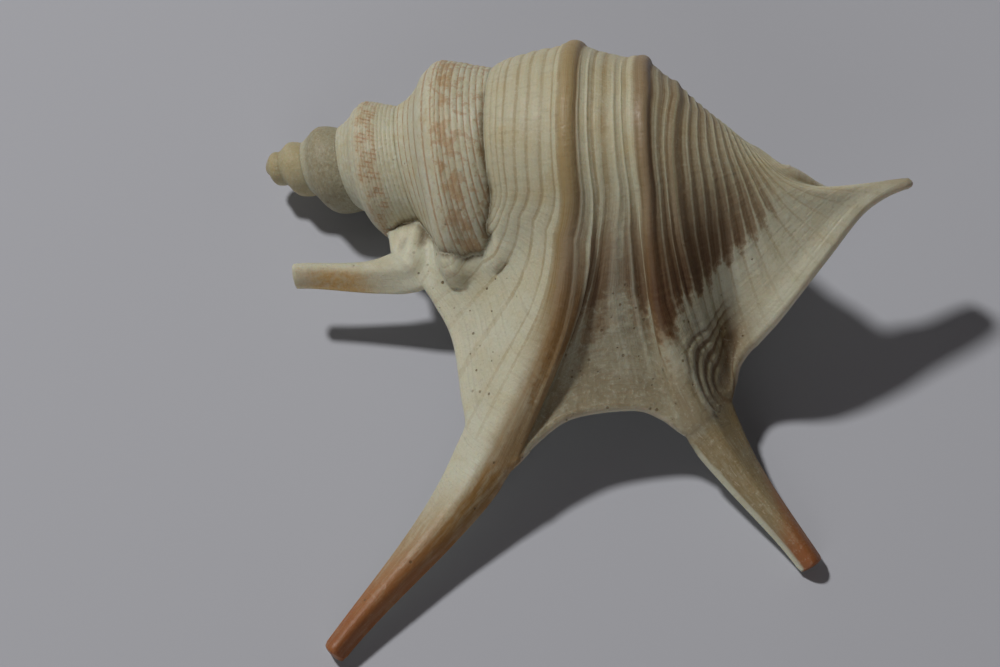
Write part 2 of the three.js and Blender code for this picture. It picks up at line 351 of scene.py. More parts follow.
def seatCallus(points, places, reach):
    # presses the sheet down so that the whorls show above its edge
    rest = points - tipPoint
    along = rest @ axisAlong
    rest = rest - along[:, None] * axisAlong
    angle = np.degrees(np.arctan2(rest @ axisAbove, -rest[:, 1]))
    radius = np.linalg.norm(rest, axis=1)
    over = angle - drawn(along, callus["edge"])
    within = smoothStep(*callus["reach"], reach)
    share = within * (1 - smoothStep(*callus["places"], places)) * smoothStep(*callus["fadeIn"], over)
    share = share * (1 - smoothStep(0.96, 1.0, reach) * smoothStep(0.2, 1.0, places)) * (reach <= 1)
    short = whorlRadius(along, angle) - radius
    moved = (short + drawn(over, callus["seat"])) * share
    near = within * (1 - smoothStep(*callus["leastPlaces"], places)) * smoothStep(
        *callus["leastFadeIn"], over,
    )
    moved = np.maximum(moved, (short + drawn(over, callus["least"])) * near * (reach <= 1))
    return points + unit(rest) * moved[:, None]


def wornHoles(places, reach):
    # depth of the worn holes in the callus
    depth = np.zeros_like(places)
    for line, at, width, length, deep in callus["holes"]:
        depth += deep * np.exp(-((places - line) / width) ** 2 - ((reach - at) / length) ** 2)
    return depth


def drifted(places, reach):
    # line numbers counted from where the keels run
    knots = [np.zeros_like(reach)]
    knots += [line + np.interp(reach, *zip(*moves)) for line, moves in keelDrift]
    knots += [np.full_like(reach, lastLine)]
    numbers = [0] + [line for line, moves in keelDrift] + [lastLine]
    result = np.zeros_like(places)
    for n in range(len(knots) - 1):
        share = (places - knots[n]) / (knots[n + 1] - knots[n])
        number = numbers[n] + np.minimum(share, 1) * (numbers[n + 1] - numbers[n])
        result = np.where(share >= 0, number, result)
    return result


def cellsOf(ids):
    # the four corners of every cell of a grid
    return np.stack([ids[:-1, :-1], ids[1:, :-1], ids[1:, 1:], ids[:-1, 1:]], -1).reshape(-1, 4)


def wallMesh():
    # outer and inner skins of the wall, joined along the lip by a rounded edge
    columns = lastLine * wall["columnsPerLine"]
    places = np.arange(columns + 1) / wall["columnsPerLine"]
    share = wall["coilShare"]
    stretch = np.concatenate([
        np.linspace(0, share, wall["rowsOnCoil"] + 1),
        np.linspace(share, 1, wall["rowsOnWing"] + 1)[1:],
    ])
    points, facing, thick = wallSkin(stretch, places)
    width = columns + 1
    blocks = [(points.reshape(-1, 3), facing.reshape(-1, 3), thick.ravel())]
    placeOf = [np.tile(places, len(stretch))]
    stretchOf = [np.repeat(stretch, width)]
    grid = np.arange(len(stretch) * width).reshape(len(stretch), width)
    quads = [cellsOf(grid)]
    count = grid.size
    for finger in fingers:
        strip = slice(finger[0] * wall["columnsPerLine"], finger[1] * wall["columnsPerLine"] + 1)
        some = places[strip]
        rows = np.linspace(0, 1, wall["rowsOnFinger"] + 1)
        skin = fingerSkin(finger, points[-1, strip], facing[-1, strip], thick[-1, strip], some, rows)
        size = wall["rowsOnFinger"] * len(some)
        fresh = np.arange(count, count + size).reshape(wall["rowsOnFinger"], len(some))
        count += size
        quads.append(cellsOf(np.vstack([grid[-1, strip], fresh])))
        blocks.append((skin[0][1:].reshape(-1, 3), skin[1][1:].reshape(-1, 3), skin[2][1:].ravel()))
        placeOf.append(np.tile(some, wall["rowsOnFinger"]))
        stretchOf.append(np.repeat(1 + rows[1:], len(some)))
    outer, facing, thick = (np.concatenate([b[k] for b in blocks]) for k in range(3))
    quads = np.concatenate(quads)
    places, reach = np.concatenate(placeOf), np.concatenate(stretchOf)
    outer = seatCallus(outer, places, reach)
    hole = wornHoles(places, reach)
    outer = outer - facing * hole[:, None]
    inner = outer - facing * thick[:, None]

    # the free edge: directed edges of the outer skin that no neighbour shares
    edges = np.concatenate([quads[:, [k, (k + 1) % 4]] for k in range(4)])
    keys = edges[:, 0] * count + edges[:, 1]
    free = edges[~np.isin(edges[:, 1] * count + edges[:, 0], keys)]
    rim = np.unique(free)
    nextOf = np.full(count, -1)
    lastOf = np.full(count, -1)
    nextOf[free[:, 0]] = free[:, 1]
    lastOf[free[:, 1]] = free[:, 0]
    tangent = unit(outer[nextOf[rim]] - outer[lastOf[rim]])
    outwards = unit(np.cross(tangent, facing[rim]))
    blunt = reach[rim] > 1.99
    roundness = np.where(blunt, wall["fingerEndRoundness"], 1.0)[:, None]
    centre = (outer[rim] + inner[rim]) / 2
    bulging = outwards * thick[rim][:, None] * roundness
    middle = centre + wall["rimMiddle"] * bulging
    upper = outer[rim] + (centre - outer[rim]) * 0.5 * roundness + wall["rimSide"] * bulging
    lower = inner[rim] + (centre - inner[rim]) * 0.5 * roundness + wall["rimSide"] * bulging
    rimOf = np.full(count, -1)
    rimOf[rim] = np.arange(len(rim))
    a, b = free[:, 0], free[:, 1]
    rings = [
        lambda n: n,
        lambda n: 2 * count + rimOf[n],
        lambda n: 2 * count + len(rim) + rimOf[n],
        lambda n: 2 * count + 2 * len(rim) + rimOf[n],
        lambda n: count + n,
    ]
    faces = [quads, count + quads[:, ::-1]]
    for near, far in zip(rings, rings[1:]):
        faces.append(np.stack([near(b), near(a), far(a), far(b)], -1))
    faces = np.concatenate(faces)
    vertices = np.concatenate([outer, inner, upper, middle, lower])
    place = drifted(places, reach)
    sides = [np.ones(count), np.zeros(count)] + [np.full(len(rim), value) for value in (0.75, 0.5, 0.25)]

    def allSkins(above, below):
        # values of the outer skin, the inner skin and the three rings of the rim
        return np.concatenate([above, below] + [above[rim]] * 3)

    return (
        vertices, faces, allSkins(place, place), allSkins(reach, reach), np.concatenate(sides),
        allSkins(facing, -facing), np.concatenate([hole, 0 * hole] + [0 * hole[rim]] * 3),
    )


partLow = np.array([0.0, -35.46874, -0.11743])  # lowest corner of the part before it was packed
shift = np.array(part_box("shell")[0]) - partLow * mm


def storeFloat(mesh, name, values):
    mesh.attributes.new(name, "FLOAT", "POINT").data.foreach_set("value", np.asarray(values, np.float32))


def storeVector(mesh, name, values):
    flat = np.asarray(values, np.float32).ravel()
    mesh.attributes.new(name, "FLOAT_VECTOR", "POINT").data.foreach_set("vector", flat)


def meshObject(name, vertices, faces):
    mesh = bpy.data.meshes.new(name)
    mesh.from_pydata((vertices * mm + shift).tolist(), [], faces.tolist())
    piece = bpy.data.objects.new(name, mesh)
    scene.collection.objects.link(piece)
    return piece


vertices, faces, place, reach, side, facing, hole = wallMesh()
wallPiece = meshObject("shellWall", vertices, faces)
for name, values in (("place", place), ("reach", reach), ("side", side), ("hole", hole)):
    storeFloat(wallPiece.data, name, values)
storeVector(wallPiece.data, "facing", facing)
print("wall made,", len(faces), "faces")

# A small maker of nodes: arithmetic that links itself


def nodeMaker(tree):
    def add(kind, settings=None, **links):
        node = tree.nodes.new(kind)
        for key, value in (settings or {}).items():
            setattr(node, key, value)
        for key, value in links.items():
            socket = node.inputs[int(key[1:])] if key[0] == "_" else node.inputs[key.replace("_", " ")]
            if isinstance(value, bpy.types.NodeSocket):
                tree.links.new(value, socket)
            else:
                socket.default_value = value
        return node

    def calc(operation, *values):
        node = tree.nodes.new("ShaderNodeMath")
        node.operation = operation
        for socket, value in zip(node.inputs, values):
            if isinstance(value, bpy.types.NodeSocket):
                tree.links.new(value, socket)
            else:
                socket.default_value = value
        return node.outputs[0]

    def chain(operation):
        def chained(*values):
            result = values[0]
            for value in values[1:]:
                result = calc(operation, result, value)
            return result
        return chained

    def offWhole(value):
        # distance to the nearest whole number
        return calc("ABSOLUTE", calc("SUBTRACT", value, calc("ROUND", value)))

    def bell(value):
        return calc("EXPONENT", calc("MULTIPLY", calc("MULTIPLY", value, value), -1.0))

    def smooth(value, low, high, fromValue=0.0, toValue=1.0):
        settings = {"interpolation_type": "SMOOTHSTEP"}
        node = add("ShaderNodeMapRange", settings, _0=value, _1=low, _2=high, _3=fromValue, _4=toValue)
        return node.outputs[0]

    def noise(vector, scale, detail=3.0, roughness=0.55):
        settings = {"noise_dimensions": "3D"}
        node = add("ShaderNodeTexNoise", settings, Vector=vector, Scale=scale, Detail=detail)
        node.inputs["Roughness"].default_value = roughness
        return node.outputs[0]

    def combine(x, y, z):
        return add("ShaderNodeCombineXYZ", None, _0=x, _1=y, _2=z).outputs[0]

    def curve(value, points, straight=False):
        # a drawn curve from 0 to 1 across
        node = add("ShaderNodeFloatCurve", None, _1=value)
        drawn = node.mapping.curves[0]
        while len(drawn.points) < len(points):
            drawn.points.new(0.5, 0.5)
        for point, place in zip(drawn.points, points):
            point.location = place
            point.handle_type = "VECTOR" if straight else "AUTO_CLAMPED"
        node.mapping.update()
        return node.outputs[0]

    times, plus, minus, over, largest = (
        chain(operation) for operation in ("MULTIPLY", "ADD", "SUBTRACT", "DIVIDE", "MAXIMUM")
    )
    return add, calc, times, plus, minus, largest, offWhole, smooth, noise, combine, over, bell, curve


def treeMaker(name, inputs):
    # a Geometry Nodes tree with named inputs
    tree = bpy.data.node_groups.new(name, "GeometryNodeTree")
    tree.interface.new_socket("Geometry", in_out="INPUT", socket_type="NodeSocketGeometry")
    tree.interface.new_socket("Geometry", in_out="OUTPUT", socket_type="NodeSocketGeometry")
    for key, value in inputs.items():
        kind = "NodeSocketMaterial" if value is None else "NodeSocketFloat"
        if isinstance(value, int):
            kind = "NodeSocketInt"
        socket = tree.interface.new_socket(key, in_out="INPUT", socket_type=kind)
        if value is not None:
            socket.default_value = value
    source = tree.nodes.new("NodeGroupInput")
    return (tree, source) + nodeMaker(tree)


def storeValues(tree, add, flow, values):
    # keeps values at the points under the names given
    for name, value in values.items():
        settings = {"data_type": "FLOAT", "domain": "POINT"}
        node = add("GeometryNodeStoreNamedAttribute", settings, Geometry=flow, Name=name)
        tree.links.new(value, next(s for s in node.inputs if s.name == "Value" and s.enabled))
        flow = node.outputs[0]
    return flow


def grooveSteps(grooves, length):
    # counts the grooves from one end to the other, as points of a curve
    count = len(grooves) + 1
    return [(0, 0)] + [(x / length, (n + 1) / count) for n, x in enumerate(grooves)] + [(1, 1)]


def finishTree(tree, add, geometry, material):
    realized = add("GeometryNodeRealizeInstances", None, Geometry=geometry)
    painted = add("GeometryNodeSetMaterial", None, Geometry=realized.outputs[0], Material=material)
    add("NodeGroupOutput", None, _0=painted.outputs[0])


def evaluatedMesh(piece):
    # the piece's mesh with its modifiers applied
    piece.data.update()
    graph = bpy.context.evaluated_depsgraph_get()
    seen = piece.evaluated_get(graph)
    return bpy.data.meshes.new_from_object(seen, preserve_all_data_layers=True, depsgraph=graph)


def runTree(piece, tree, values):
    # evaluates the tree once and keeps the result as a plain mesh
    modifier = piece.modifiers.new(tree.name, "NODES")
    modifier.node_group = tree
    for item in tree.interface.items_tree:
        if item.item_type == "SOCKET" and item.in_out == "INPUT" and item.name in values:
            modifier[item.identifier] = values[item.name]
    mesh = evaluatedMesh(piece)
    piece.modifiers.remove(modifier)
    piece.data = mesh


# Fine relief of the spire
spireRelief = {
    "Groove depth": 0.055,
    "Groove width": 0.16,
    "Growth line height": 0.03,
    "Growth lines per turn": 44.0,
    "Lattice height": 0.05,
    "Lattice per turn": 90.0,
    "Seed": 7,
}
# grooves across one whorl, from suture to suture
spireGrooves = [0.05, 0.13, 0.2, 0.3, 0.43, 0.53, 0.57, 0.61, 0.65, 0.7, 0.755, 0.8, 0.85, 0.9, 0.95]


def spireTree(material):
    tree, source, *tools = treeMaker("spireOnCoil", {"Material": None, **spireRelief})
    add, calc, times, plus, minus, largest, offWhole, smooth, noise, combine, over, bell, curve = tools
    given = source.outputs
    sheet = add("GeometryNodeMeshGrid", None, _0=1.0, _1=1.0, _2=core["levels"], _3=core["turns"] + 1)
    where = add("ShaderNodeSeparateXYZ", None, _0=add("GeometryNodeInputPosition").outputs[0]).outputs
    steps, turns = float(core["levels"] - 1), float(core["turns"])
    level = over(calc("ROUND", times(plus(where[0], 0.5), steps)), steps)
    column = calc("ROUND", times(plus(where[1], 0.5), turns))
    turn = over(calc("MODULO", column, turns), turns)  # the last column is the first
    near = times(level, core["shown"] / core["shownLevels"])  # most levels lie on the part that shows
    rest = (core["end"] - core["shown"]) / (1 - core["shownLevels"])
    along = largest(near, plus(times(level, rest), core["end"] - rest))
    angle = plus(times(turn, 360.0), core["start"])
    origin, ratio = coil["coneOrigin"], coil["turnRatio"]
    fromOrigin = plus(along, origin)
    turned = over(minus(angle, coil["sutureAngle"]), 360.0)
    whorl = plus(calc("LOGARITHM", over(fromOrigin, coil["firstSuture"]), ratio), turned)
    place = minus(whorl, calc("FLOOR", whorl))

    outline = curve(place, [(x, (y - 0.3) * 5) for x, y in whorlOutline])
    outline = plus(over(outline, 5.0), 0.3)
    swelling = plus(times(calc("SINE", times(place, math.pi)), 0.085), 0.37)
    early = smooth(along, 4.5, 8.5, coil["earlyRounding"], 0.0)
    outline = plus(outline, times(minus(swelling, outline), early))
    radians = calc("RADIANS", angle)
    under = largest(times(calc("SINE", radians), -1.0), 0.0)
    flat = minus(1.0, times(under, under, coil["undersideFlat"]))
    blunt = largest(minus(1.0, over(along, coil["tipRounding"])), 0.0)
    rounding = calc("SQRT", largest(minus(1.0, times(blunt, blunt)), 0.0))
    onSpire = times(fromOrigin, outline, times(flat, rounding))
    off = over(minus(along, coil["bulgeAlong"]), coil["bulgeLength"])
    beside = over(minus(angle, 360 + coil["bulgeAngle"]), coil["bulgeSpread"])
    far = plus(times(off, off), times(beside, beside))
    onSpire = plus(onSpire, times(calc("EXPONENT", times(far, -1.0)), coil["bulge"]))

    # inside of the last whorl, narrowing to a pillar behind the mouth
    wound = calc("MINIMUM", angle, wall["start"])
    back = over(minus(coil["sutureAngle"], wound), 360.0)
    base = plus(
        coil["lastTurnAdvance"],
        times(calc("GREATER_THAN", wound, coil["sutureAngle"]), ratio - coil["lastTurnAdvance"]),
    )
    advance = calc("POWER", base, back)
    suture = minus(times(advance, spiralLines[0][0][0] + origin), origin)
    beneath = smooth(angle, wall["start"], 360.0)
    seam = plus(suture, times(minus(core["underLip"], suture), beneath))
    atSuture = minus(over(fromOrigin, advance), origin)
    low, high = spiralLines[0][0][0], spiralLines[-1][0][0]
    body = curve(
        over(minus(atSuture, low), high - low),
        [((at[0] - low) / (high - low), at[1] / 8) for at, edge, end in spiralLines],
    )
    body = times(body, 8.0, calc("POWER", coil["lastTurnGrowth"], back))
    hollow = smooth(angle, wall["start"] + 8, 410.0, 1.0, core["hollowShare"])
    inside = largest(times(minus(body, core["inset"]), hollow), core["pillarRadius"])
    past = smooth(along, plus(seam, 0.4), plus(seam, plus(times(beneath, 4.0), 1.8)))
    radius = plus(onSpire, times(minus(inside, onSpire), past))

    # spiral grooves, growth lines, and a lattice on the smaller whorls
    cordCount = times(curve(place, grooveSteps(spireGrooves, 1), True), float(len(spireGrooves) + 1))
    groove = bell(over(offWhole(cordCount), given["Groove width"]))
    size = smooth(along, 1.5, 11.0, 0.1, 1.0)
    winding = minus(calc("FLOOR", whorl), turned)  # turns counted along the coil
    growthPlace = combine(times(winding, given["Growth lines per turn"]), times(place, 3.0), given["Seed"])
    lines = noise(growthPlace, 1.0, 2.0, 0.5)
    latticeTurn = times(given["Lattice per turn"], 2 * math.pi)
    around = calc("SINE", times(plus(turned, times(place, 0.04)), latticeTurn))
    latticeShare = times(smooth(whorl, 4.0, 4.1, 1.0, 0.0), smooth(along, 3.0, 6.0))
    lattice = times(plus(around, 1.0), 0.5, times(latticeShare, given["Lattice height"]))
    relief = times(minus(lines, 0.5), given["Growth line height"])
    relief = minus(relief, times(groove, given["Groove depth"]), lattice)
    relief = times(relief, times(size, rounding), minus(1.0, past))
    cap = core["capFrom"]
    ending = largest(over(minus(along, cap), core["end"] - cap), 0.0)
    ending = calc("SQRT", largest(minus(1.0, times(ending, ending)), 0.0))
    radius = times(plus(radius, relief), ending)

    across = times(radius, calc("COSINE", radians), -1.0)
    above = times(radius, calc("SINE", radians))
    cosine, sine = math.cos(pitch), math.sin(pitch)
    tipX, tipY, tipZ = coil["spireTip"]
    x = plus(minus(times(along, cosine), times(above, sine)), tipX)
    z = plus(times(along, sine), times(above, cosine), tipZ)
    inPlace = combine(x, plus(across, tipY), z)
    inMetres = add(
        "ShaderNodeVectorMath", {"operation": "MULTIPLY_ADD"}, _0=inPlace, _1=(mm, mm, mm),
        _2=tuple(shift),
    )

    stored = dict(place=place, winding=winding, reach=turned, cordCount=cordCount)
    stored["side"] = plus(times(past, -2.0), 3.0)
    flow = storeValues(tree, add, sheet.outputs[0], stored)
    flow = add("GeometryNodeSetPosition", None, Geometry=flow, Position=inMetres.outputs[0]).outputs[0]
    flow = add("GeometryNodeMergeByDistance", None, Geometry=flow, Distance=0.3e-6).outputs[0]
    finishTree(tree, add, flow, given["Material"])
    return tree


# Fine relief of the last whorl and wing
wingRelief = {
    "Keel height": 0.2,
    "Shoulder height": 0.16,
    "Groove depth": 0.06,
    "Groove width": 0.2,
    "Rib height": 0.09,
    "Growth line height": 0.05,
    "Growth lines": 150.0,
    "Fold height": 0.13,
    "Fold spacing": 0.45,
    "Lump height": 0.4,
    "Unevenness": 0.12,
    "Lip swelling": 0.12,
    "Tongue height": 0.13,
    "Ridge height": 0.09,
    "Seed": 3,
}
# line, share of the height, half width in lines
keels = [(6.05, 1.0, 0.62), (13.05, 0.95, 0.5), (15.0, 0.4, 0.22)]
# where the grooves lie, in lines; the ribs of the beak follow at even steps
wingGrooves = [
    0.6, 1.2, 1.8, 2.35, 2.83, 3.34, 3.79, 4.37, 5.0, 5.4, 6.75, 8.42, 9.19, 11.56, 12.5,
    13.67, 14.41, 14.72, 15.25,
]
wingGrooves += [15.25 + 0.31 * n for n in range(1, 15)]
# strength of the grooves and of the ribs, by line
grooveStrength = [
    (0.0, 0.1), (2.0, 0.5), (2.8, 1.0), (5.0, 1.0), (5.4, 0.9), (6.4, 0.9), (7.0, 0.8),
    (11.6, 0.7), (12.5, 0.7), (13.6, 1.0), (14.7, 0.9), (15.3, 0.5), (16.5, 0.0),
]
ribStrength = [
    (0.0, 0.0), (14.4, 0.0), (14.6, 0.5), (15.2, 0.8), (16.0, 1.0), (17.5, 0.9),
    (18.5, 0.55), (19.5, 0.1), (20.0, 0.0),
]
paleRidges = [(6.85, 0.13), (7.8, 0.13), (10.1, 0.2), (11.0, 0.14)]  # line and half width, between the keels
tongueAt = (12.95, 0.62)  # line and half width of the tongue that ends the second keel
foldsAt = (15.2, 0.965)  # line and reach at the middle of the ring folds


def reliefTree(material):
    tree, source, *tools = treeMaker("keelsAndCords", {"Material": None, **wingRelief})
    add, calc, times, plus, minus, largest, offWhole, smooth, noise, combine, over, bell, curve = tools
    given = source.outputs

    def read(name, kind="FLOAT"):
        node = add("GeometryNodeInputNamedAttribute", {"data_type": kind}, Name=name)
        return next(s for s in node.outputs if s.name == "Attribute" and s.enabled)

    place, reach, side = read("place"), read("reach"), read("side")
    facing = read("facing", "FLOAT_VECTOR")
    share = over(place, float(lastLine))
    height, shoulder = 0.0, 0.0
    for line, strength, width in keels:
        off = over(minus(place, line), width)
        off = times(off, off)
        bump = calc("EXPONENT", times(calc("POWER", off, 1.3), -1.0))
        height = plus(height, times(bump, strength))
        wide = calc("EXPONENT", times(off, -0.2))
        shoulder = plus(shoulder, times(wide, strength))
    fromStart = smooth(reach, 0.1, 0.3)
    beforeLip = largest(smooth(reach, 0.8, 1.0, 1.0, 0.0), smooth(place, 14.0, 15.0, 1.0, 0.0))
    keel = plus(times(height, given["Keel height"]), times(shoulder, given["Shoulder height"]))
    keel = times(keel, fromStart, times(beforeLip, smooth(reach, 0.95, 1.4, 1.0, 0.0)))
    # the second keel ends in a tongue on the root of its finger
    off = over(minus(place, tongueAt[0]), tongueAt[1])
    tongue = bell(times(off, off))
    tongue = times(tongue, times(smooth(reach, 0.84, 0.93), smooth(reach, 0.97, 1.05, 1.0, 0.0)))
    keel = plus(keel, times(tongue, given["Tongue height"]))
    swelling = times(smooth(reach, 0.93, 0.985), smooth(place, 14.6, 16.2))
    swelling = times(swelling, smooth(place, 18.0, 19.0, 1.0, 0.0))
    keel = plus(keel, times(swelling, given["Lip swelling"]))

    cordCount = times(curve(share, grooveSteps(wingGrooves, lastLine), True), float(len(wingGrooves) + 1))
    narrower = smooth(reach, 0.62, 0.85, 1.0, 0.5)  # lines stay fine where they spread over the wing
    groove = bell(over(offWhole(cordCount), times(given["Groove width"], narrower)))
    fading = smooth(reach, 0.84, 0.96, 1.0, 0.3)
    cutShare = curve(share, [(line / lastLine, strength) for line, strength in grooveStrength])
    ribShare = curve(share, [(line / lastLine, strength) for line, strength in ribStrength])
    cut = times(groove, cutShare, given["Groove depth"])
    wave = minus(1.0, calc("COSINE", times(cordCount, 2 * math.pi)))
    rib = calc("POWER", times(wave, 0.5), 2.5)
    raised = times(rib, ribShare, given["Rib height"], smooth(reach, 0.88, 0.97, 1.0, 0.4))
    cordPart = minus(raised, times(cut, fading))
    ridges = 0.0
    for line, width in paleRidges:
        off = over(minus(place, line), width)
        ridges = plus(ridges, bell(off))
    ridges = times(ridges, times(smooth(reach, 0.4, 0.5), smooth(reach, 0.88, 0.99, 1.0, 0.0)))
    cordPart = plus(cordPart, times(ridges, given["Ridge height"]))

    here = add("GeometryNodeInputPosition").outputs[0]
    warp = noise(here, 300.0, 1.0, 0.5)
    alongReach = plus(times(reach, given["Growth lines"]), times(warp, 1.5))
    lines = noise(combine(alongReach, times(place, 0.35), given["Seed"]), 1.0, 2.0, 0.5)
    growthPart = times(minus(lines, 0.5), given["Growth line height"])
    broadPart = times(minus(noise(here, 260.0, 2.0, 0.5), 0.5), given["Unevenness"])

    # folds that follow the turn of the lip beside the second finger
    beside = times(minus(place, foldsAt[0]), 1.1)
    before = times(minus(reach, foldsAt[1]), 24.0)
    away = calc("SQRT", plus(times(beside, beside), times(before, before)))
    ringed = plus(over(away, given["Fold spacing"]), times(warp, 1.5))
    folded = times(smooth(away, 0.2, 0.6), smooth(away, 1.7, 3.0, 1.0, 0.0))
    folded = times(folded, times(smooth(reach, 0.985, 1.03, 1.0, 0.0), smooth(place, 15.5, 16.3, 1.0, 0.0)))
    foldWave = calc("SINE", times(ringed, 2 * math.pi))
    foldPart = times(foldWave, folded, times(given["Fold height"], 0.5))

    # lumps of the worn callus
    lumps = noise(here, 800.0, 2.0, 0.5)
    onCallus = times(smooth(place, 1.6, 3.4, 1.0, 0.15), smooth(reach, 0.84, 0.92))
    onCallus = times(onCallus, smooth(reach, 1.0, 1.15, 1.0, 0.0))
    lumpPart = times(minus(lumps, 0.5), onCallus, given["Lump height"])
    fine = plus(cordPart, growthPart, plus(broadPart, foldPart, lumpPart))
    fine = times(fine, fromStart)

    outerOnly = smooth(side, 0.3, 0.9)
    offset = times(plus(keel, fine), outerOnly, mm)
    moved = add("ShaderNodeVectorMath", {"operation": "SCALE"}, _0=facing)
    tree.links.new(offset, moved.inputs["Scale"])
    stored = dict(cordCount=cordCount, ridge=ridges, folded=times(folded, foldWave))
    flow = storeValues(tree, add, source.outputs["Geometry"], stored)
    flow = add("GeometryNodeSetPosition", None, Geometry=flow, Offset=moved.outputs[0]).outputs[0]
    finishTree(tree, add, flow, given["Material"])
    return tree


shellMaterial = bpy.data.materials.new("shellGlaze")

corePiece = bpy.data.objects.new("shellCore", bpy.data.meshes.new("shellCore"))
scene.collection.objects.link(corePiece)
runTree(corePiece, spireTree(shellMaterial), {"Material": shellMaterial})
runTree(wallPiece, reliefTree(shellMaterial), {"Material": shellMaterial})
print("whorls and relief made,", len(corePiece.data.polygons), "and", len(wallPiece.data.polygons), "faces")


def edgeEnds(mesh):
    edges = np.empty(len(mesh.edges) * 2, np.int64)
    mesh.edges.foreach_get("vertices", edges)
    return edges.reshape(-1, 2).T


def pointsOf(mesh):
    points = np.empty(len(mesh.vertices) * 3)
    mesh.vertices.foreach_get("co", points)
    return points.reshape(-1, 3)


def largestIsland(mesh):
    # vertices of the largest connected surface
    a, b = edgeEnds(mesh)
    label = np.arange(len(mesh.vertices))
    while True:
        low = np.minimum(label[a], label[b])
        fresh = label.copy()
        np.minimum.at(fresh, a, low)
        np.minimum.at(fresh, b, low)
        fresh = fresh[fresh]
        if (fresh == label).all():
            break
        label = fresh
    names, counts = np.unique(label, return_counts=True)
    return label == names[counts.argmax()]


def joinWhorls(outerPiece, innerPiece):
    # one closed surface, with no hollow left sealed inside
    join = outerPiece.modifiers.new("join", "BOOLEAN")
    join.operation = "UNION"
    join.solver = "MANIFOLD"
    join.object = innerPiece
    mesh = evaluatedMesh(outerPiece)
    outerPiece.modifiers.remove(join)
    kept = largestIsland(mesh)
    print("joined,", len(mesh.polygons), "faces,", int((~kept).sum()), "points of sealed hollows left out")
    return mesh, kept


def readFloat(mesh, name):
    values = np.empty(len(mesh.vertices), np.float32)
    mesh.attributes[name].data.foreach_get("value", values)
    return values


finish = dict(
    triangles=195000,
    hiddenShare=0.3,
    creaseAngle=48.0,
    softRadius=2.0,
    softRounds=50,
)
softLines = [3, 5, 7, 12, 14, 15]  # lines whose ends on the lip make a corner


def makeBody(mesh, kept):
    # the joined surface as one piece, thinned where it is hidden
    body = bpy.data.objects.new("shellBody", mesh)
    scene.collection.objects.link(body)
    work = bmesh.new()
    work.from_mesh(mesh)
    work.verts.ensure_lookup_table()
    bmesh.ops.delete(work, geom=[work.verts[n] for n in np.flatnonzero(~kept)], context="VERTS")
    bmesh.ops.triangulate(work, faces=work.faces)
    work.to_mesh(mesh)
    work.free()
    side, reach = readFloat(mesh, "side"), readFloat(mesh, "reach")
    hidden = ((side < 0.1) & (reach < 0.94)) | ((side > 1) & (side < 2.2))
    group = body.vertex_groups.new(name="hidden")
    group.add(np.flatnonzero(hidden).tolist(), 1.0, "REPLACE")
    corners = np.empty(len(mesh.polygons) * 3, np.int64)
    mesh.polygons.foreach_get("vertices", corners)
    hiddenFaces = hidden[corners.reshape(-1, 3)].all(axis=1).sum()
    fewer = 1 - (1 - finish["hiddenShare"]) * hiddenFaces / len(mesh.polygons)
    for ratio, groupName in ((fewer, "hidden"), (None, "")):
        thin = body.modifiers.new("thin", "DECIMATE")
        thin.ratio = ratio or min(1.0, finish["triangles"] / len(body.data.polygons))
        thin.vertex_group = groupName
        body.data = evaluatedMesh(body)
        body.modifiers.remove(thin)
        print("thinned to", len(body.data.polygons), "triangles")
    body.vertex_groups.clear()
    return body


def softenCorners(mesh):
    # smooths where fingers leave the lip, without shrinking them
    points = pointsOf(mesh)
    a, b = edgeEnds(mesh)
    corners = np.array([spiralLines[n][1] for n in softLines]) * mm + shift
    away = np.linalg.norm(points[:, None] - corners[None], axis=2).min(axis=1) / mm
    share = 1 - smoothStep(0.4 * finish["softRadius"], finish["softRadius"], away)
    near = (share[a] > 0) | (share[b] > 0)
    a, b = a[near], b[near]
    degree = np.maximum(np.bincount(a, minlength=len(points)) + np.bincount(b, minlength=len(points)), 1)
    for n in range(2 * finish["softRounds"]):
        step = (0.5 if n % 2 == 0 else -0.51) * share
        for axis in range(3):
            line = points[:, axis]
            around = np.bincount(a, line[b], len(points)) + np.bincount(b, line[a], len(points))
            line += step * (around / degree - line)
    mesh.vertices.foreach_set("co", points.ravel())
    mesh.update()


body = makeBody(*joinWhorls(wallPiece, corePiece))
for helper in (wallPiece, corePiece):
    bpy.data.objects.remove(helper)
body.data.validate()  # takes out faces that lie doubled on the same three points
softenCorners(body.data)
body.data.shade_smooth()
body.data.set_sharp_from_angle(angle=math.radians(finish["creaseAngle"]))
print("shell body made,", len(body.data.polygons), "triangles")
body.data.materials.clear()
body.data.materials.append(shellMaterial)
body.data.update()


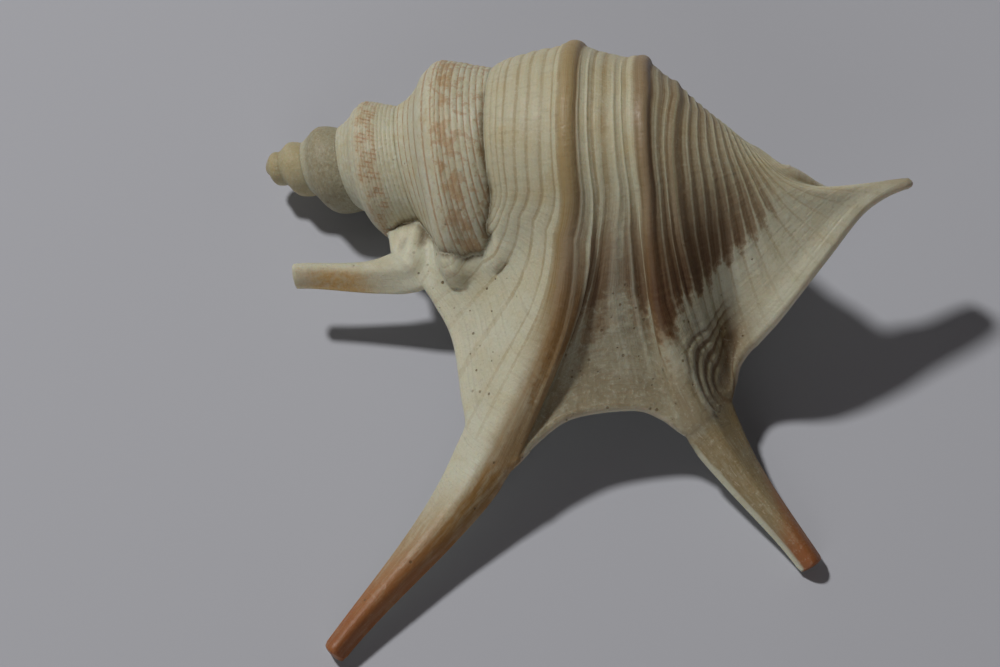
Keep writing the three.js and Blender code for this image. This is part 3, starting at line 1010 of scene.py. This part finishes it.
# Where the pigments lie: amounts over the line number, at the top of the last whorl and low on the wing
pigment = dict(
    brownHigh=[
        (5.4, 0), (6.0, 0.06), (6.6, 0.25), (7.2, 0.1), (9, 0.08), (12, 0.1), (12.6, 0.3),
        (13.3, 0.45), (14, 0.28), (15, 0.3), (16.5, 0.28), (17.5, 0.18), (18.5, 0.06), (19.5, 0),
    ],
    brownLow=[
        (5.0, 0), (5.8, 0.25), (6.6, 0.8), (8, 0.72), (10, 0.7), (12, 0.8), (13.2, 1),
        (14, 1), (15.5, 0.95), (16.5, 0.7), (17.2, 0.42), (18, 0.15), (19, 0.0),
    ],
    # reach at which the glaze of the wing begins
    glazeEdge=[
        (5.0, 0.74), (5.8, 0.8), (6.3, 0.87), (7.0, 0.88), (8.5, 0.86), (11.5, 0.86), (12.5, 0.87),
        (13.7, 0.85), (14.4, 0.815), (17.4, 0.8), (18.2, 0.72), (19, 0.62), (20, 0.55),
    ],
    edgeSoftness=[(12.6, 1.4), (13.4, 0.55), (16.5, 0.6), (18.3, 1.5)],
    lineTint=[
        (0, 0.1), (2, 0.3), (2.8, 0.6), (5.4, 0.55), (6.6, 0.7), (8.4, 0.7), (9.2, 0.7),
        (11.6, 0.5), (13.0, 0.4), (13.7, 0.7), (14.8, 0.7), (16, 0.5), (18.5, 0.4), (20, 0.2),
    ],
)
seamWidth = 0.28  # millimetres over which dirt fades away from the seam


def band(x, low, high, soft):
    return smoothStep(low - soft, low + soft, x) * (1 - smoothStep(high - soft, high + soft, x))


def nearSeam(mesh, onWing, along):
    # how close each point lies to where the wall meets the whorls
    a, b = edgeEnds(mesh)
    ends = np.unique(a[onWing[a] != onWing[b]])
    points = pointsOf(mesh)
    tree = KDTree(len(ends))
    for n in ends:
        tree.insert(points[n], int(n))
    tree.balance()
    result = np.zeros(len(points))
    for n in np.flatnonzero(along):
        result[n] = math.exp(-(tree.find(points[n])[2] / (seamWidth * mm)) ** 2)
    return result


def paintShell(mesh):
    # soft masks at the points, by line number and reach; the material adds the fine breaks
    place, reach, side, hole = (readFloat(mesh, name) for name in ("place", "reach", "side", "hole"))
    wing = side <= 1.01
    onWing = wing * (side > 0.15)
    inside = wing * (side < 0.1)
    onLip = (reach <= 1) * onWing
    finger = (reach > 1) * onWing
    down = smoothStep(0.61, 0.8, reach)
    brown = drawn(place, pigment["brownHigh"]) * (1 - down) + drawn(place, pigment["brownLow"]) * down
    beyond = (reach - drawn(place, pigment["glazeEdge"])) / 0.1
    softness = drawn(place, pigment["edgeSoftness"])
    first = band(place, 4.9, 7.1, 0.05)
    second = band(place, 12.1, 15.1, 0.05)
    back = 1 - smoothStep(3.2, 3.6, place)
    keelOne = band(place, 5.5, 6.75, 0.2) * (1 - smoothStep(0.76, 0.92, reach))
    keelTwo = band(place, 12.45, 13.6, 0.2) * (1 - smoothStep(0.78, 0.92, reach))
    keelThree = band(place, 14.75, 15.2, 0.12) * (1 - smoothStep(0.72, 0.8, reach))
    # amber right of the first keel and on the first finger: partly the shell's own amber, partly painted
    # shade on the side turned from the light
    amber = band(place, 6.05, 7.6, 0.25) * smoothStep(0.7, 0.86, reach) * (1 - smoothStep(1.6, 1.9, reach))
    amber = amber * (0.7 + 0.3 * smoothStep(0.92, 1.08, reach))
    amber = np.maximum(amber, first * smoothStep(1.05, 1.45, reach + 0.1 * (place - 6)) * 0.75)
    # on the first finger the orange starts sooner on its right side, partly as painted shade
    orange = first * smoothStep(1.3, 1.72, reach + 0.12 * (place - 6))
    orange = orange + second * smoothStep(1.55, 1.9, reach + 0.15 * (place - 13.3))
    deep = smoothStep(1.66, 1.97, reach) * (first + second)
    tan = second * smoothStep(0.93, 1.08, reach)
    tan = np.maximum(tan, band(place, 12.2, 13.3, 0.25) * smoothStep(0.86, 0.95, reach) * 0.8)
    stain = back * np.exp(-np.abs((reach - 1.66) / 0.26) ** 3) * smoothStep(1.4, 2.5, place)
    beakEnd = smoothStep(18.4, 19.6, place) * smoothStep(0.86, 0.97, reach) * (reach <= 1)
    sinus = band(place, 13.7, 16.2, 0.6) * smoothStep(0.84, 0.92, reach) * (1 - smoothStep(1.05, 1.25, reach))
    hollow = np.exp(-((place - 15.5) / 0.8) ** 2 - ((reach - 0.96) / 0.035) ** 2)
    tongue = band(place, 12.3, 13.5, 0.2) * smoothStep(0.86, 0.93, reach) * (1 - smoothStep(1.0, 1.03, reach))
    # the web between the first two fingers; its colour carries painted shade as well as its own grey tan
    web = band(place, 6.8, 12.6, 0.5) * smoothStep(0.7, 0.8, reach)
    rim = (side > 0.15) & (side < 0.85)
    fingerRoot = band(place, 1.0, 3.0, 0.05) + first + second
    lip = rim * (reach <= 1.0) * (1 - fingerRoot)
    pitted = (1 - smoothStep(4.4, 5.6, place)) * smoothStep(0.78, 0.87, reach)
    pitted = pitted * (1 - smoothStep(1.02, 1.1, reach))
    pitted = pitted * (1 - 0.6 * smoothStep(0.95, 0.98, reach))
    pitted = np.maximum(
        pitted, 0.75 * band(place, 7.0, 12.5, 0.4) * smoothStep(0.74, 0.84, reach) * (reach <= 1),
    )
    pitted = np.maximum(pitted, 0.6 * band(place, 13.4, 16.0, 0.4) * band(reach, 0.82, 0.93, 0.03))
    lineTint = drawn(place, pigment["lineTint"]) * (1 - 0.55 * smoothStep(0.8, 0.95, reach))
    low = (reach > 0.6) & (reach < 1.0) | (side > 1.5) & (reach > 0.42) & (reach < 0.66)
    masks = dict(
        brown=brown * onLip,
        beyond=np.where(onLip > 0, beyond / softness, 5),
        keelOne=keelOne * onWing,
        keelTwo=keelTwo * onWing,
        keelThree=keelThree * onWing,
        amber=amber * onWing,
        orange=orange * finger,
        deep=deep * finger,
        tan=tan * onWing,
        stain=stain * finger,
        beakEnd=beakEnd * onWing,
        sinus=sinus * onWing,
        web=web * onLip,
        tongue=tongue * onWing,
        hollow=hollow * onLip,
        lip=lip * onWing,
        inside=inside,
        pitted=pitted * onWing,
        lineTint=lineTint * onLip,
        spire=1 - wing,
        wing=smoothStep(0.62, 0.85, reach) * onWing,
        dirt=np.maximum(nearSeam(mesh, wing, low), 0.9 * smoothStep(0.12, 0.3, hole)),
    )
    for name, values in masks.items():
        storeFloat(mesh, name, values)


paintShell(body.data)
print("pigments laid on")

# Colours of the shell, as light reflected in red, green and blue
tint = dict(
    cream=(0.52, 0.5, 0.36),
    creamPale=(0.57, 0.585, 0.475),
    creamYellow=(0.5, 0.44, 0.265),
    keel=(0.35, 0.265, 0.125),
    keelDeep=(0.25, 0.175, 0.07),
    keelDark=(0.155, 0.11, 0.035),
    tan=(0.31, 0.24, 0.15),
    umber=(0.175, 0.108, 0.052),
    darkUmber=(0.1, 0.045, 0.018),
    groove=(0.66, 0.53, 0.38),
    # grey tan of the web, made darker as painted shade
    web=(0.295, 0.26, 0.17),
    russet=(0.39, 0.25, 0.14),
    russetBand=(0.43, 0.3, 0.165),
    # amber that also serves as painted shade on the shaded side of the first finger
    amber=(0.3, 0.165, 0.045),
    orange=(0.33, 0.145, 0.05),
    deepOrange=(0.28, 0.1, 0.03),
    olive=(0.25, 0.19, 0.09),
    stain=(0.5, 0.33, 0.12),
    greyGreen=(0.26, 0.235, 0.15),
    apex=(0.4, 0.35, 0.2),
    dirt=(0.13, 0.085, 0.035),
    chalk=(0.66, 0.645, 0.54),
)


# How fine the noises are, in cells per metre
noiseScale = dict(
    fine=2600.0,
    grain=6500.0,
    patch=420.0,
    broad=160.0,
    flecks=1700.0,
    pits=1500.0,
)


def buildGlaze(material):
    material.use_nodes = True
    tree = material.node_tree
    tree.nodes.clear()
    add, calc, times, plus, minus, largest, offWhole, smooth, noise, combine = nodeMaker(tree)[:10]

    def read(name):
        return add("ShaderNodeAttribute", {"attribute_name": name}).outputs["Fac"]

    def mix(below, above, amount, kind="MIX"):
        node = add("ShaderNodeMix", {"data_type": "RGBA", "blend_type": kind}, _0=amount)
        for index, value in ((6, below), (7, above)):
            if isinstance(value, bpy.types.NodeSocket):
                tree.links.new(value, node.inputs[index])
            else:
                node.inputs[index].default_value = tint[value] + (1.0,)
        return node.outputs[2]

    here = add("ShaderNodeTexCoord").outputs["Object"]
    place, reach, winding, cordCount = read("place"), read("reach"), read("winding"), read("cordCount")
    spire, wing, inside = read("spire"), read("wing"), read("inside")
    fromGroove = offWhole(cordCount)

    def vector(operation, first, second, output):
        node = add("ShaderNodeVectorMath", {"operation": operation}, _0=first, _1=tuple(second))
        return node.outputs[output]

    fromTip = vector("SUBTRACT", here, tipPoint * mm + shift, "Vector")
    above = vector("DOT_PRODUCT", fromTip, axisAbove, "Value")
    across = vector("DOT_PRODUCT", fromTip, (0.0, -1.0, 0.0), "Value")
    angle = calc("ARCTAN2", above, across)

    def aroundSpire(scale, places, offset):
        # a place for noise that runs on without a break around the axis
        ring = plus(times(place, places), times(winding, 3.0), offset)
        return combine(times(calc("COSINE", angle), scale), times(calc("SINE", angle), scale), ring)

    fine = noise(here, noiseScale["fine"], 3.0)
    grain = noise(here, noiseScale["grain"], 2.0)
    patch = noise(here, noiseScale["patch"], 3.0)
    broad = noise(here, noiseScale["broad"], 2.0)
    alongLines = noise(combine(times(cordCount, 1.3), times(reach, 26.0), 0.0), 1.0, 3.0)
    threads = noise(combine(times(place, 15.0), times(reach, 7.0), 2.0), 1.0, 3.0)
    growthLines = noise(combine(times(place, 0.9), times(reach, 150.0), 4.0), 1.0, 3.0)
    streaks = noise(combine(times(place, 6.0), times(reach, 9.0), 7.0), 1.0, 3.0)

    # cream ground, paler on the wing
    base = mix("cream", "creamYellow", smooth(patch, 0.42, 0.72, 0.0, 0.7))
    base = mix(base, "creamPale", times(wing, smooth(broad, 0.3, 0.6, 0.45, 0.95)))
    base = mix(base, "cream", times(wing, smooth(patch, 0.5, 0.68, 0.0, 0.6)))

    # amber keels
    keelOne, keelTwo, keelThree = read("keelOne"), read("keelTwo"), read("keelThree")
    firstKeel = mix("keel", "keelDeep", smooth(reach, 0.55, 0.72))
    base = mix(base, firstKeel, times(keelOne, smooth(threads, 0.3, 0.7, 1.0, 0.8)))
    base = mix(base, mix("keelDeep", "keelDark", smooth(reach, 0.48, 0.64)), keelTwo)
    base = mix(base, "keelDark", times(keelThree, 0.6))

    # brown pigment, ending at the glaze in a jagged edge
    ragged = plus(read("beyond"), times(minus(alongLines, 0.5), 1.3))
    ragged = plus(ragged, times(minus(fine, 0.5), 1.0))
    ragged = plus(ragged, times(smooth(fromGroove, 0.1, 0.4), 0.2))
    bare = smooth(ragged, -0.5, 0.5, 1.0, 0.0)
    # pale crests between the grooves: partly the cords' own pale tone, partly a painted highlight on the
    # ridges
    paleCrestAndHighlight = times(smooth(fromGroove, 0.36, 0.48), minus(1.0, largest(keelTwo, keelOne)))
    brown = plus(times(read("brown"), bare), times(minus(threads, 0.5), bare, 0.45))
    brown = minus(brown, times(paleCrestAndHighlight, smooth(alongLines, 0.3, 0.6, 0.16, 0.34)))
    brown = plus(brown, times(minus(growthLines, 0.5), 0.2))
    brown = times(brown, smooth(read("brown"), 0.0, 0.12))
    base = mix(base, "tan", smooth(brown, 0.05, 0.45))
    base = mix(base, "umber", smooth(brown, 0.4, 0.8))
    base = mix(base, "darkUmber", smooth(brown, 0.75, 1.1))

    # ground of the web, its own grey tan made darker as painted shade, and the sinus
    onWebAndShade = times(read("web"), minus(1.0, bare))
    base = mix(base, "web", times(onWebAndShade, smooth(patch, 0.35, 0.65, 1.0, 0.7)))
    base = mix(base, "tan", times(onWebAndShade, smooth(growthLines, 0.52, 0.66), 0.6))
    base = mix(base, "creamPale", times(onWebAndShade, smooth(fine, 0.52, 0.66), 0.2))
    fold = read("folded")
    sinus = times(read("sinus"), minus(1.0, times(bare, 0.7)))
    base = mix(base, "olive", times(sinus, smooth(patch, 0.3, 0.65, 0.95, 0.6)))
    base = mix(base, "umber", times(smooth(fold, 0.1, -0.8), 0.8))
    base = mix(base, "umber", times(read("hollow"), smooth(fine, 0.3, 0.6, 0.5, 0.8)))

    # lines in the grooves of the last whorl
    wavering = plus(fromGroove, times(minus(fine, 0.5), 0.1))
    line = smooth(wavering, 0.05, minus(0.2, times(wing, 0.1)), 1.0, 0.0)
    lineTint = times(line, read("lineTint"), smooth(alongLines, 0.3, 0.6, 0.5, 1.0))
    base = mix(base, mix(base, "groove", 1.0, "MULTIPLY"), lineTint)
    # paler crests of the cords, partly a painted highlight
    base = mix(base, "creamPale", times(paleCrestAndHighlight, read("lineTint"), smooth(threads, 0.35, 0.6, 0.1, 0.3)))
    base = mix(base, "creamPale", times(read("tongue"), smooth(fine, 0.3, 0.6, 0.15, 0.35)))
    base = mix(base, "creamPale", times(read("ridge"), smooth(threads, 0.3, 0.6, 0.15, 0.5)))

    # amber and orange fingers; the amber right of the first keel and on the first finger is partly painted
    # shade
    base = mix(base, "olive", times(read("tan"), smooth(streaks, 0.3, 0.6, 0.72, 0.95)))
    base = mix(base, "chalk", times(read("tan"), smooth(streaks, 0.6, 0.66), smooth(place, 12.9, 12.5), 0.4))
    base = mix(base, "amber", times(read("amber"), smooth(streaks, 0.3, 0.6, 0.6, 0.95)))
    base = mix(base, "orange", times(read("orange"), smooth(streaks, 0.3, 0.55, 0.75, 1.0)))
    base = mix(base, "deepOrange", times(read("deep"), smooth(streaks, 0.3, 0.6, 0.6, 0.95)))
    base = mix(base, "stain", times(read("stain"), smooth(fine, 0.3, 0.6, 0.6, 1.0)))
    base = mix(base, "olive", times(read("beakEnd"), 0.85))

    # whorls of the spire
    wrinkle = noise(aroundSpire(9.5, 16.0, 0.0), 1.0, 4.0, 0.6)
    blotch = noise(aroundSpire(5.4, 9.0, 5.0), 1.0, 2.5)
    weave = plus(times(calc("SINE", plus(times(angle, 90.0), times(place, 22.0))), 0.5), 0.5)
    isLast = smooth(winding, 2.72, 2.88)
    notThird = smooth(winding, 1.72, 1.88)
    isThird = times(notThird, minus(1.0, isLast))
    isFourth = times(smooth(winding, 0.72, 0.88), minus(1.0, notThird))
    isApex = smooth(winding, 0.72, 0.88, 1.0, 0.0)
    onSpire = mix("cream", "creamPale", smooth(wrinkle, 0.35, 0.65, 0.0, 0.7))
    onSpire = mix(onSpire, "creamYellow", smooth(patch, 0.5, 0.7, 0.0, 0.5))
    spireLine = smooth(plus(fromGroove, times(minus(fine, 0.5), 0.12)), 0.04, 0.17, 1.0, 0.0)
    russetLine = times(isLast, spireLine, smooth(wrinkle, 0.36, 0.52, 0.2, 1.0))
    lastBand = times(isLast, smooth(place, 0.55, 0.575), smooth(place, 0.69, 0.71, 1.0, 0.0))
    lastBand = times(lastBand, smooth(blotch, 0.42, 0.56, 0.1, 1.0), smooth(fine, 0.35, 0.55, 0.6, 1.0))
    flecks = times(
        isLast, smooth(noise(here, noiseScale["flecks"], 3.0), 0.54, 0.62), smooth(place, 0.4, 0.55),
        0.55,
    )
    onSpire = mix(onSpire, "russet", flecks)
    onSpire = mix(onSpire, "russetBand", times(lastBand, 0.9))
    onSpire = mix(onSpire, "russet", times(russetLine, 0.8))
    thirdBand = times(isThird, smooth(place, 0.42, 0.52), smooth(place, 0.72, 0.8, 1.0, 0.0))
    thirdLines = largest(spireLine, smooth(weave, 0.45, 0.2))
    thirdLines = times(thirdLines, smooth(fine, 0.36, 0.52))
    onSpire = mix(onSpire, "russetBand", times(thirdBand, smooth(blotch, 0.4, 0.6, 0.1, 0.5)))
    onSpire = mix(onSpire, "russet", times(thirdBand, thirdLines, smooth(blotch, 0.42, 0.6, 0.05, 0.9)))
    onSpire = mix(onSpire, "tan", times(isThird, spireLine, 0.2))
    onSpire = mix(
        onSpire, "greyGreen",
        times(isFourth, smooth(place, 0.08, 0.35, 0.3, 0.95), smooth(wrinkle, 0.3, 0.6, 1.0, 0.75)),
    )
    onSpire = mix(onSpire, "apex", times(isApex, smooth(patch, 0.35, 0.65, 1.0, 0.7)))
    base = mix(base, onSpire, spire)

    # pale lip, dirt in the seam, chalky grain and small dark pits
    base = mix(base, "chalk", times(read("lip"), 0.5))
    base = mix(base, "creamPale", times(inside, 0.8))
    base = mix(base, "dirt", times(read("dirt"), smooth(patch, 0.35, 0.6, 0.4, 0.9)))
    pitted = read("pitted")
    dusty = times(minus(1.0, inside), smooth(brown, 0.1, 0.5, 0.3, 0.0))
    dusty = times(dusty, minus(1.0, largest(keelOne, largest(keelTwo, read("amber")))))
    base = mix(base, "chalk", times(smooth(grain, 0.52, 0.72), smooth(fine, 0.4, 0.6), dusty))
    worn = times(smooth(growthLines, 0.5, 0.3), minus(1.0, spire), 0.12)
    worn = plus(worn, times(smooth(grain, 0.45, 0.25), 0.16))
    base = mix(base, "umber", times(worn, minus(1.0, inside)))
    # cells per metre, chance of no pit, least size and how much it varies, where
    everywhere = largest(times(wing, 0.8), times(spire, 0.5))
    pits = [(1150.0, 0.74, 0.045, 0.07, everywhere), (1900.0, 0.66, 0.07, 0.15, pitted)]
    dots = 0.0
    for scale, chanceOf, least, most, share in pits:
        cells = add("ShaderNodeTexVoronoi", {"voronoi_dimensions": "3D"}, Vector=here, Scale=scale)
        chance = add("ShaderNodeSeparateColor", None, _0=cells.outputs["Color"]).outputs
        size = plus(times(chance[1], most), least)
        dot = smooth(minus(cells.outputs["Distance"], size), -0.02, 0.03, 1.0, 0.0)
        dot = times(dot, smooth(chance[0], chanceOf, chanceOf + 0.02), share)
        dots = largest(dots, dot)
    base = mix(base, "dirt", times(dots, 0.85))

    # gloss and the finest relief
    shader = add("ShaderNodeBsdfPrincipled", None)
    tree.links.new(base, shader.inputs["Base Color"])
    keels = largest(keelOne, keelTwo)
    rough = minus(smooth(fine, 0.3, 0.7, 0.48, 0.66), times(keels, 0.1))
    rough = minus(rough, times(largest(read("amber"), read("tan")), 0.12))
    tree.links.new(rough, shader.inputs["Roughness"])
    shader.inputs["IOR"].default_value = 1.45
    shader.inputs["Subsurface Weight"].default_value = 0.42
    shader.inputs["Subsurface Radius"].default_value = (1.0, 0.55, 0.3)
    shader.inputs["Subsurface Scale"].default_value = 0.0016
    shader.inputs["Coat Weight"].default_value = 0.04
    shader.inputs["Coat Roughness"].default_value = 0.3
    relief = plus(times(fine, 0.9), times(grain, 0.4))
    relief = plus(relief, times(growthLines, minus(1.0, spire), 0.6))
    relief = plus(relief, times(threads, minus(1.0, spire), 0.5))
    relief = minus(relief, times(dots, 1.6))
    relief = plus(relief, times(noise(here, noiseScale["pits"], 4.0), pitted, 1.6))
    relief = plus(relief, times(wrinkle, spire, 1.5))
    bump = add("ShaderNodeBump", None, Strength=0.8, Distance=0.00006, Height=relief)
    tree.links.new(bump.outputs[0], shader.inputs["Normal"])
    add("ShaderNodeOutputMaterial", None, _0=shader.outputs[0])


buildGlaze(shellMaterial)

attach(body, "root")
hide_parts("shell")

# The stage: floor, light and camera
stage = dict(
    floorSize=0.9,
    floorColour=(0.475, 0.5, 0.565, 1.0),
    floorRoughness=0.8,
    worldColour=(1.0, 0.86, 0.82, 1.0),
    worldStrength=0.045,
    # place and width in metres, power in watts
    windowLight=dict(place=(-0.33, 0.2, 0.51), size=0.07, power=2.65, colour=(1.0, 0.96, 0.91)),
    fillLight=dict(place=(-0.06, -0.55, 0.2), size=0.45, power=0.58, colour=(1.0, 0.96, 0.92)),
    # in millimetres
    cameraPlace=(13.29, -114.76, 208.16),
    cameraTarget=(-3.67, 1.51, 4.64),
    lens=128.6,
)
low = frameBox[0]
floorMesh = bpy.data.meshes.new("floor")
half = stage["floorSize"] / 2
corners = [(x * half, y * half, low[2]) for x, y in ((-1, -1), (1, -1), (1, 1), (-1, 1))]
floorMesh.from_pydata(corners, [], [(0, 1, 2, 3)])
floor = bpy.data.objects.new("floor", floorMesh)
scene.collection.objects.link(floor)
floorMaterial = bpy.data.materials.new("paleFloor")
floorMaterial.use_nodes = True
floorShader = floorMaterial.node_tree.nodes["Principled BSDF"]
floorShader.inputs["Base Color"].default_value = stage["floorColour"]
floorShader.inputs["Roughness"].default_value = stage["floorRoughness"]
floorMesh.materials.append(floorMaterial)

world = bpy.data.worlds.new("studio")
world.use_nodes = True
world.node_tree.nodes["Background"].inputs["Color"].default_value = stage["worldColour"]
world.node_tree.nodes["Background"].inputs["Strength"].default_value = stage["worldStrength"]
scene.world = world


def aimed(place, target):
    # the turn that looks from one place to another
    return (Vector(target) - Vector(place)).to_track_quat("-Z", "Y").to_euler()


def areaLight(name, place, size, power, colour):
    # a round light that shines on the middle of the floor
    data = bpy.data.lights.new(name, "AREA")
    data.shape = "DISK"
    data.size = size
    data.energy = power
    data.color = colour
    light = bpy.data.objects.new(name, data)
    light.location = place
    light.rotation_euler = aimed(place, (0, 0, 0))
    scene.collection.objects.link(light)


for name in ("windowLight", "fillLight"):
    areaLight(name, **stage[name])

cameraData = bpy.data.cameras.new("camera")
cameraData.lens = stage["lens"]
cameraData.sensor_width = 36.0
cameraData.clip_end = 10.0
camera = bpy.data.objects.new("camera", cameraData)
camera.location = Vector(stage["cameraPlace"]) * mm
camera.rotation_euler = aimed(stage["cameraPlace"], stage["cameraTarget"])
scene.collection.objects.link(camera)
scene.camera = camera
scene.view_settings.view_transform = "Standard"
